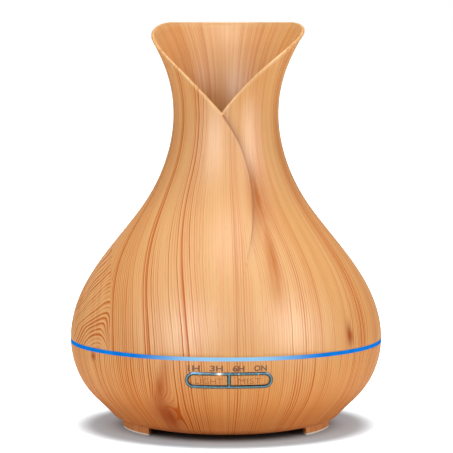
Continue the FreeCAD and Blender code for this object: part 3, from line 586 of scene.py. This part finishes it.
def circuit_board(name, colour, trace):
    """Solder mask over copper tracks, with pads."""
    g = Graph(name)
    where = g.place()
    cells = g.node("ShaderNodeTexVoronoi", {"Vector": where, "Scale": 0.30}, distance="CHEBYCHEV",
                   feature="F1").outputs["Distance"]
    tracks = g.math("ABSOLUTE", g.minus(g.math("FRACT", g.times(cells, 3.0)), 0.5))
    track = g.span(tracks, 0.30, 0.36)
    pads = g.node("ShaderNodeTexVoronoi", {"Vector": where, "Scale": 0.22}).outputs["Distance"]
    pad = g.span(pads, 0.10, 0.14, 1.0, 0.0)
    g.bump(track, 0.00004, 0.4)
    masked = g.mix(track, colour, trace)
    return g.finish(Base_Color=g.mix(pad, masked, rgb(200, 196, 186)), Roughness=0.38,
                    Metallic=g.times(pad, 0.8))


def winding(name, colour):
    """Enamelled wire, wound in turns round an upright axis, with painted shade in the grooves between the
    turns.
    """
    g = Graph(name)
    z = g.split(g.place())["Z"]
    turns = g.math("SINE", g.times(z, math.tau / WIRE_PITCH))
    g.bump(turns, 0.00012, 0.8)
    # painted shade: darker in the grooves between the turns
    return g.finish(Base_Color=g.mix(g.span(turns, -0.9, 0.2), shaded(colour, 0.4), colour), Metallic=0.7,
                    Roughness=0.32)


def ring_glow(name):
    """The lit light guide: pale where the lamps are straight behind it, deep blue elsewhere."""
    g = Graph(name)
    x, y, _ = g.split(g.place())
    turn = g.math("ABSOLUTE", g.math("ARCTAN2", x, g.times(y, -1.0)))
    cloud = g.noise(g.place(), 0.15, 2.0)
    blue = g.mix(g.span(cloud, 0.3, 0.7), rgb(8, 118, 216), rgb(18, 132, 226))
    lit = g.mix(g.span(turn, RING_PALE, RING_BLUE), rgb(158, 212, 246), blue)
    return g.finish(Base_Color=rgb(4, 30, 70), Roughness=0.5, Specular_IOR_Level=0.0, Emission_Color=lit,
                    Emission_Strength=0.92)


def indicator_light(name):
    """Four light pipes; the second from the left is lit, and the other three get a faint pale-blue painted
    glow.
    """
    g = Graph(name)
    x = g.split(g.place())["X"]
    lit = g.span(g.math("ABSOLUTE", g.minus(x, LIT_X)), 1.0, 2.0, 1.0, 0.0)
    grain = g.noise(g.place(), 2.0, 2.0)
    return g.finish(Base_Color=g.mix(grain, rgb(120, 170, 205), rgb(150, 195, 225)), Roughness=0.2,
                    # the three unlit pipes get a faint pale-blue painted glow
                    Emission_Color=g.mix(lit, rgb(140, 190, 220), rgb(255, 236, 214)),
                    Emission_Strength=g.span(lit, 0.0, 1.0, 0.35, 3.0, "LINEAR"))


def floor_material(name):
    """A pale floor with a painted shadow under the object, that glows white further out to meet the
    background unseen; where the glow starts sets the painted edge of the shadow.
    """
    g = Graph(name)
    where = g.place()
    x, y, _ = g.split(where)
    away = g.math("SQRT", g.squares(x, y))
    seen = g.node("ShaderNodeLightPath").outputs["Is Camera Ray"]
    # no glow under the object, rising outward: this sets the painted edge of the shadow disc
    glow = g.plus(g.span(away, *FLOOR_DIM, 0.0, FLOOR_GLOW), g.span(away, *FLOOR_WHITE))
    near = g.mix(g.noise(where, 0.01, 2.0), *FLOOR_NEAR)
    # painted contact shadow: the floor is dark under the object
    near = g.mix(g.span(away, *FLOOR_SHADOW), FLOOR_SHADOW_COLOUR, near)
    return g.finish(Base_Color=g.mix(seen, FLOOR_BOUNCE, near), Roughness=0.9, Specular_IOR_Level=0.0,
                    Emission_Color=(1, 1, 1, 1), Emission_Strength=g.times(glow, seen))


# ---- the cover ----------------------------------------------------------------------------------------
def petal_columns():
    """Places on one petal from the lap's edge to the back, as (turn, arc) pairs; arc counts near the edge."""
    columns = [(0.0, arc) for arc in NEAR_LAP]
    turn = stride = FIRST_STRIDE
    while turn < math.pi - stride / 2:
        columns.append((turn, NEAR_LAP[-1]))
        stride = min(stride * STRIDE_GROWTH, LAST_STRIDE)
        turn += stride
    columns.append((math.pi, 0.0))
    return columns


def petal_offset(side, arc, strength):
    """How far the surface stands out from the plain body, arc metres from the lap's edge."""
    if side == "right":
        return -strength * LAP_DIP * np.exp(-arc / LAP_REACH["right"])
    rounding = LAP_ROUND * strength
    inside = np.clip(rounding - arc, 0, None)
    drop = rounding - np.sqrt(np.clip(rounding ** 2 - inside ** 2, 0, None))
    return strength * LAP_RISE * np.exp(-arc / LAP_REACH["left"]) - drop


def petal_column(side, turn, arc, rows):
    """One column of the cover: its turn, height, outer and inner radius, print shift and the painted shade in
    the fold.
    """
    sign = 1 if side == "right" else -1
    top = rim_height(sign * (turn + arc / RIM_RADIUS * (1 - turn / math.pi))) - LIP_WALL / 2
    z = cover_low.z + (top - cover_low.z) * rows
    strength = smooth((z - LAP_FADE[0]) / (LAP_FADE[1] - LAP_FADE[0]))
    radius = body_radius(z)
    past = sign * (turn + arc / radius * (1 - turn / math.pi))
    if side == "right" and turn == 0 and arc == 0:
        past = past - LAP_UNDERCUT * strength / radius
    distance = turn * radius + arc
    outer = radius + petal_offset(side, distance, strength)
    inner = outer - WALL + (WALL - LIP_WALL) * smooth((z - (top - LIP_BLEND)) / LIP_BLEND)
    if side == "right":
        shift = strength * LAP_SHIFT * np.exp(-np.abs(past) / LAP_SHIFT_REACH)
        # painted shade in the fold, next to the left petal's edge
        shade = strength * np.exp(-distance / FOLD_SHADE_REACH["right"])
    else:
        shift = np.zeros_like(z)
        # painted shade only on the left petal's rounded edge
        shade = strength * np.exp(-(distance / FOLD_SHADE_REACH["left"]) ** 2)
    return lap_turn(z) + past, z, outer, inner, shift, shade


def rounded_lip(outside, inside, seam):
    """Half-round rows from the outside's top to the inside's; the rim turns a corner at column seam."""
    middle = (outside[:, -1] + inside[:, -1]) / 2
    half = (outside[:, -1] - inside[:, -1]) / 2
    along = np.concatenate([np.gradient(middle[:seam], axis=0), np.gradient(middle[seam:], axis=0)])
    up = np.cross(along, half)
    up /= np.linalg.norm(up, axis=1)[:, None]
    up *= np.sign(up[:, 2])[:, None]
    size = np.linalg.norm(half, axis=1)[:, None]
    bend = np.linspace(0, math.pi, LIP_STEPS + 2)[1:-1]
    return np.stack([middle + half * math.cos(a) + up * size * math.sin(a) for a in bend], axis=1)


def vase_cover(material):
    """The lapped cover with its notched mouth, as one closed grid."""
    rows = np.linspace(0, 1, COVER_ROWS)
    right = [("right", turn, arc) for turn, arc in petal_columns()]
    left = [("left", turn, arc) for turn, arc in petal_columns()[:-1]][::-1]
    outside, inside, shifts, shades = [], [], [], []
    for side, turn, arc in right + left:
        angle, z, outer, inner, shift, shade = petal_column(side, turn, arc, rows)
        chamfer = SKIRT_CHAMFER * (1 - smooth((z - z[0]) / SKIRT_CHAMFER_UP))
        outside.append(on_body(angle, z, outer - chamfer))
        inside.append(on_body(angle, z, inner))
        shifts.append(np.concatenate([shift, np.repeat(shift[-1], LIP_STEPS), shift[::-1]]))
        shades.append(np.concatenate([shade, np.zeros(LIP_STEPS + COVER_ROWS)]))
    outside, inside = np.array(outside), np.array(inside)
    points = np.concatenate([outside, rounded_lip(outside, inside, len(right)), inside[:, ::-1]], axis=1)
    columns, per_column = points.shape[:2]
    piece = new_piece("vase_cover", points.reshape(-1, 3), grid_faces(columns, per_column), "top_cover",
                      material, sharp=50)
    # where the painted highlight on the rounded lip goes
    near_lip = smooth((rows * COVER_ROWS - (COVER_ROWS - 2)) / 2)
    lip = np.concatenate([near_lip, np.ones(LIP_STEPS), near_lip[::-1]])
    vertex_values(piece, "lap_shift", shifts)
    vertex_values(piece, "lip", np.tile(lip, columns))
    # the painted shade in the lap's fold, for the material
    vertex_values(piece, "fold_shade", shades)
    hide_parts("top_cover")


# ---- the button panel ---------------------------------------------------------------------------------
BAR = 1.45 * MM                    # width of the plated frame
BAR_STEPS = 13                     # points round a bar's crown, and loops along the divider
BAR_EDGE = 0.1 * MM                # how far the crown starts out from the body
DIVIDER = 1.3 * MM
PROUD = 0.5 * MM
DIVIDER_PROUD = 0.46 * MM
SLEEVE_DEPTH = 3.2 * MM
SLEEVE_SKIRT = 0.1 * MM            # across, from the bar's middle to its inner skirt
DIVIDER_SKIRT = 0.3 * MM
RECESS = 0.4 * MM                  # of the buttons behind the body's surface
GLOW_WIDE = 1.5                    # mm; how far the lit indicator's glow spreads on the plating
GLOW_HIGH = 0.7
LABEL_THICK = 0.04 * MM
MARK_UP = 6.35 * MM                # the timer marks' height over the panel's middle
MARK_TALL = 3.1 * MM
WORD_UP = -0.45 * MM               # the same for the words on the buttons
WORD_TALL = 2.9 * MM
MARK_WEIGHT = 0.03                 # how much the strokes grow, in letter heights
WORD_WEIGHT = -0.012
# the timer marks over the bezel: name, words, middle and width in mm
TIMER_MARKS = [
    ("one", "1H", -18.0, 6.2),
    ("three", "3H", -6.4, 6.6),
    ("six", "6H", 4.8, 6.1),
    ("on", "ON", 16.0, 6.6),
]
# the words on the buttons: name, words, middle and width in mm, body
BUTTON_MARKS = [
    ("light", "LIGHT", -10.2, 13.8, "light_button"),
    ("mist", "MIST", 10.4, 11.8, "mist_button"),
]


def on_front(x, up, out):
    """A point on the panel, out in front of the body's surface."""
    radius = body_radius(PANEL_Z + up) + out
    return (x, -math.sqrt(radius * radius - x * x), PANEL_Z + up)


def slot_path(length, height, arc_steps=18, straight_steps=24):
    """Round a slot shape: (x, up, outward x, outward up) at each step."""
    half = height / 2
    straight = length / 2 - half
    path = []
    for side in (1, -1):
        for k in range(straight_steps):
            path.append((side * straight * (2 * k / straight_steps - 1), side * half, 0.0, side))
        for k in range(arc_steps):
            angle = side * math.pi / 2 - math.pi * k / arc_steps
            out_x, out_up = math.cos(angle), math.sin(angle)
            path.append((side * straight + half * out_x, half * out_up, out_x, out_up))
    return path


def bar_section(width, crown, skirt):
    """A plated bar's closed section, as (across, out) pairs: a rounded face on a deep inner skirt."""
    half = width / 2
    rounded = [(half * math.cos(t), BAR_EDGE + (crown - BAR_EDGE) * math.sin(t) ** 0.7)
               for t in np.linspace(0, math.pi, BAR_STEPS)]
    return [(half, 0.0)] + rounded + [(-half, -SLEEVE_DEPTH), (skirt, -SLEEVE_DEPTH), (skirt, 0.0)]


def swept(sections, closed):
    """Points and faces of a skin over a row of equal loops, joined end to end or capped."""
    size = len(sections[0])
    points = [point for loop in sections for point in loop]
    faces = grid_faces(len(sections), size, wrap_columns=closed)
    if not closed:
        faces += [tuple(range(size))[::-1], tuple(range(len(points) - size, len(points)))]
    return points, faces


def bezel_frame(material):
    """The rounded, plated frame round the buttons, with its divider."""
    frame_bar = bar_section(BAR, PROUD, SLEEVE_SKIRT)
    loops = []
    for x, up, out_x, out_up in slot_path(BEZEL_LENGTH - BAR, BEZEL_HEIGHT - BAR):
        loops.append([on_front(x + across * out_x, up + across * out_up, out) for across, out in frame_bar])
    points, faces = swept(loops, closed=True)
    reach = BEZEL_HEIGHT / 2 - BAR * 0.7
    bar = bar_section(DIVIDER, DIVIDER_PROUD, DIVIDER_SKIRT)
    heights = np.linspace(-reach, reach, BAR_STEPS)
    loops = [[on_front(across, up, out) for across, out in bar] for up in heights]
    more_points, more_faces = swept(loops, closed=False)
    faces += [tuple(i + len(points) for i in face) for face in more_faces]
    piece = new_piece("bezel_frame", points + more_points, faces, "base", material, sharp=50)
    tidy_normals(piece)
    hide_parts("button_bezel")


def tidy_normals(piece):
    """Turns every face of closed shells outwards."""
    work = bmesh.new()
    work.from_mesh(piece.data)
    bmesh.ops.recalc_face_normals(work, faces=work.faces)
    work.to_mesh(piece.data)
    work.free()


def label(name, words, x, up, size, out, body, material, weight):
    """Raised print of a size (wide, high), wrapped onto the panel."""
    text = bpy.data.curves.new(name, "FONT")
    text.body = words
    text.extrude = 0.02
    text.offset = weight
    text.resolution_u = 3
    carrier = bpy.data.objects.new(name + "_text", text)
    bpy.context.scene.collection.objects.link(carrier)
    flat = bpy.data.meshes.new_from_object(carrier.evaluated_get(bpy.context.evaluated_depsgraph_get()))
    bpy.data.objects.remove(carrier)
    corners = np.array([v.co for v in flat.vertices])
    low, high = corners.min(axis=0), corners.max(axis=0)
    points = []
    for across, along, deep in (corners - low) / (high - low):
        points.append(on_front(x + (across - 0.5) * size[0], up + (along - 0.5) * size[1],
                               out + deep * LABEL_THICK))
    faces = [tuple(p.vertices) for p in flat.polygons]
    new_piece(name, points, faces, body, material, sharp=30)


def panel_labels():
    """Generic timer and function marks."""
    ink = plastic("mark_ink", rgb(132, 86, 60), 0.6)
    for name, words, x, wide in TIMER_MARKS:
        label("mark_" + name, words, x * MM, MARK_UP, (wide * MM, MARK_TALL), 0.0, "base", ink, MARK_WEIGHT)
    engraved = plastic("button_ink", rgb(158, 92, 46), 0.6)
    for name, words, x, wide, body in BUTTON_MARKS:
        label("mark_" + name, words, x * MM, WORD_UP, (wide * MM, WORD_TALL), -RECESS, body, engraved,
              WORD_WEIGHT)


def bezel_crown(g, x, up):
    """1 along the middle of the frame's bars, 0 at their edges; all in mm."""
    straight = (BEZEL_LENGTH - BEZEL_HEIGHT) / 2 / MM
    middle = (BEZEL_HEIGHT - BAR) / 2 / MM
    past = g.most(g.minus(g.math("ABSOLUTE", x), straight), 0.0)
    off_bar = g.math("ABSOLUTE", g.minus(g.math("SQRT", g.squares(past, up)), middle))
    bar = g.span(off_bar, 0.1, BAR / 2 / MM, 1.0, 0.0)
    return g.most(bar, g.span(g.math("ABSOLUTE", x), 0.1, DIVIDER / 2 / MM, 1.0, 0.0))


def bezel_plating(name):
    """Blue-grey plating with a painted highlight along its crown and painted shade at its edges, with the lit
    indicator's glow on it.
    """
    g = Graph(name)
    where = g.place()
    x, _, z = g.split(where)
    haze = g.noise(where, 0.8, 3.0, 0.6)
    fine = g.noise(where, 1.0, 2.0, stretch=(0.6, 3.0, 3.0))
    up = g.minus(z, PANEL_Z / MM)
    # painted highlight along the bars' crowns, painted shade at their edges
    crown_highlight = g.times(bezel_crown(g, x, up), g.span(haze, 0.3, 0.7, 0.8, 1.0))
    across = g.math("DIVIDE", g.minus(x, LIT_X), GLOW_WIDE)
    above = g.math("DIVIDE", g.minus(up, INDICATOR_UP), GLOW_HIGH)
    glow = g.math("EXPONENT", g.times(g.squares(across, above), -1.0))
    g.bump(fine, 0.00001, 0.3)
    return g.finish(Base_Color=g.mix(crown_highlight, rgb(28, 44, 60), rgb(112, 164, 206)), Metallic=1.0,
                    Roughness=g.span(haze, 0.3, 0.7, 0.20, 0.32),
                    Emission_Color=rgb(255, 232, 206), Emission_Strength=glow)


# ---- the carried-over CAD nodes -----------------------------------------------------------------------
SHARP = math.radians(30)           # edges of CAD meshes bent more than this stay sharp


def finish_node(name, material):
    """Gives a CAD node its one material and smooth shading."""
    mesh = nodes[name].data
    mesh.materials.clear()
    mesh.materials.append(material)
    mesh.shade_smooth()
    mesh.set_sharp_from_angle(angle=SHARP)


def dress_nodes(wood_grain):
    """Gives each CAD node that stays its procedural material."""
    screw = metal("screw_steel", rgb(168, 168, 172), 0.32)
    # the silicone and the milky plastic get a faint painted glow
    silicone = milky("silicone", rgb(238, 235, 228), 0.10)
    white = milky("milky_plastic", rgb(240, 241, 240), 0.04)
    black = plastic("black_plastic", rgb(34, 34, 36), 0.48)
    board = circuit_board("green_board", rgb(22, 92, 52), rgb(40, 128, 74))
    copper = winding("copper_winding", rgb(196, 108, 62))
    sleeve = plastic("cable_sleeve", rgb(38, 38, 40), 0.5)
    lens = plastic("led_lens", rgb(240, 232, 190), 0.25, Emission_Color=rgb(120, 180, 255),
                   Emission_Strength=0.4)
    finishes = {
        wood_grain: ["lower_housing", "light_button", "mist_button"],
        plastic("base_plastic", rgb(190, 150, 112), 0.55): ["bottom_cover"],
        ring_glow("ring_glow"): ["light_ring"],
        silicone: ["foot_pad_left", "foot_pad_right", "foot_pad_rear", "tank_seal", "piezo_seal"],
        white: ["water_tank", "inner_lid"],
        screw: ["base_screws", "retainer_screws", "fan_screws", "board_screws", "led_board_screws",
                "control_board_screws"],
        metal("retainer_steel", rgb(186, 186, 188), 0.28): ["piezo_retainer"],
        metal("piezo_silver", rgb(205, 200, 186), 0.35, (1.0, 1.0, 1.0)): ["piezo_disc"],
        black: ["fan_frame", "fan_rotor", "control_chip", "driver_transistor", "dc_socket", "switch_bodies"],
        plastic("foam", rgb(60, 60, 62), 0.9, 3.0, 0.0003): ["fan_gasket"],
        plastic("white_plastic", rgb(222, 222, 216), 0.5): ["air_guide"],
        board: ["main_board", "control_board"],
        circuit_board("white_board", rgb(232, 232, 226), rgb(214, 214, 206)): ["led_board"],
        plastic("nylon", rgb(228, 222, 200), 0.45): ["board_connectors"],
        plastic("plunger_plastic", rgb(140, 30, 26), 0.4): ["light_switch_plunger", "mist_switch_plunger"],
        copper: ["driver_coil", "fan_motor_coil"],
        metal("can_aluminium", rgb(150, 158, 172), 0.3): ["capacitors"],
        metal("sink_aluminium", rgb(190, 192, 198), 0.35, (8.0, 0.4, 0.4)): ["transistor_heat_sink"],
        lens: ["leds", "indicator_leds"],
        indicator_light("indicator_light"): ["indicator_light_pipes"],
        sleeve: ["power_cable", "fan_cable", "led_cable", "piezo_cable", "control_cable"],
    }
    for material, names in finishes.items():
        for name in names:
            finish_node(name, material)


# ---- the studio ---------------------------------------------------------------------------------------
AMBIENT = 0.60                     # light from all round, apart from the white seen by the camera
MIRRORED = 0.26                    # the same light as shiny surfaces reflect it
FLOOR_HALF = 30.0
# lamps: turn, distance, height, (wide, high), watts, share of the object's height it looks at, sheen only
LAMPS = {
    "left_box": (-64, 1.3, 0.32, (0.5, 1.0), 2.2, 0.45, False),
    "right_box": (60, 1.3, 0.32, (0.5, 1.0), 3.8, 0.45, False),
    "left_sheen": (-28, 1.3, 0.45, (0.30, 1.1), 17.0, 0.45, True),
    "right_sheen": (46, 1.3, 0.45, (0.35, 1.1), 14.0, 0.45, True),
    "front_box": (0, 1.2, 0.75, (0.5, 0.5), 1.2, 0.8, False),
    "top_box": (0, 0.05, 1.6, (0.22, 0.8), 14.0, 0.0, False),
}


def on_turn(turn, distance, height):
    """A place at a turn round the object."""
    return (distance * math.sin(turn), -distance * math.cos(turn), height)


def softbox(name, turn, distance, height, size, watts, aim, sheen_only):
    """A rectangular lamp that looks at the object from a turn round it."""
    light = bpy.data.lights.new(name, "AREA")
    light.shape = "RECTANGLE"
    light.size, light.size_y = size
    light.energy = watts
    lamp = bpy.data.objects.new(name, light)
    lamp.location = on_turn(math.radians(turn), distance, height)
    look = Vector((0, 0, HEIGHT * aim)) - lamp.location
    lamp.rotation_euler = look.to_track_quat("-Z", "Y").to_euler()
    lamp.visible_diffuse = not sheen_only
    bpy.context.scene.collection.objects.link(lamp)


def pale_floor():
    """A floor far wider than the picture."""
    mesh = bpy.data.meshes.new("floor")
    corners = [(x * FLOOR_HALF, y * FLOOR_HALF, 0) for x, y in ((-1, -1), (1, -1), (1, 1), (-1, 1))]
    mesh.from_pydata(corners, [], [(0, 1, 2, 3)])
    mesh.materials.append(floor_material("pale_floor"))
    floor = bpy.data.objects.new("floor", mesh)
    bpy.context.scene.collection.objects.link(floor)


def background():
    """White to the camera, dimmer as a light and dimmer again in reflections."""
    world = bpy.data.worlds.new("studio")
    bpy.context.scene.world = world
    world.use_nodes = True
    tree = world.node_tree
    rays = tree.nodes.new("ShaderNodeLightPath")
    choices = []
    for ray, level in (("Is Camera Ray", 1.0), ("Is Glossy Ray", MIRRORED)):
        choice = tree.nodes.new("ShaderNodeMix")
        tree.links.new(rays.outputs[ray], choice.inputs["Factor"])
        choice.inputs["A"].default_value = AMBIENT
        choice.inputs["B"].default_value = level
        choices.append(choice)
    tree.links.new(choices[0].outputs["Result"], choices[1].inputs["A"])
    shader = tree.nodes["Background"]
    tree.links.new(choices[1].outputs["Result"], shader.inputs["Strength"])
    shader.inputs["Color"].default_value = (1, 1, 1, 1)


def photo_camera():
    """A camera at the photo's angle."""
    data = bpy.data.cameras.new("camera")
    data.lens = CAMERA_LENS
    data.sensor_width = 36.0
    data.shift_x, data.shift_y = CAMERA_SHIFT
    data.clip_start = 0.05
    data.clip_end = 200.0
    camera = bpy.data.objects.new("camera", data)
    camera.location = on_turn(CAMERA_TURN, CAMERA_DISTANCE, CAMERA_HEIGHT)
    camera.rotation_euler = (math.pi / 2 - CAMERA_PITCH, 0, CAMERA_TURN)
    bpy.context.scene.collection.objects.link(camera)
    bpy.context.scene.camera = camera
    bpy.context.scene.view_settings.view_transform = "Standard"


wood_grain = wood_material("wood_grain")
dress_nodes(wood_grain)
vase_cover(wood_grain)
bezel_frame(bezel_plating("bezel_plating"))
panel_labels()
pale_floor()
background()
for lamp_name, lamp_setting in LAMPS.items():
    softbox(lamp_name, *lamp_setting)
photo_camera()
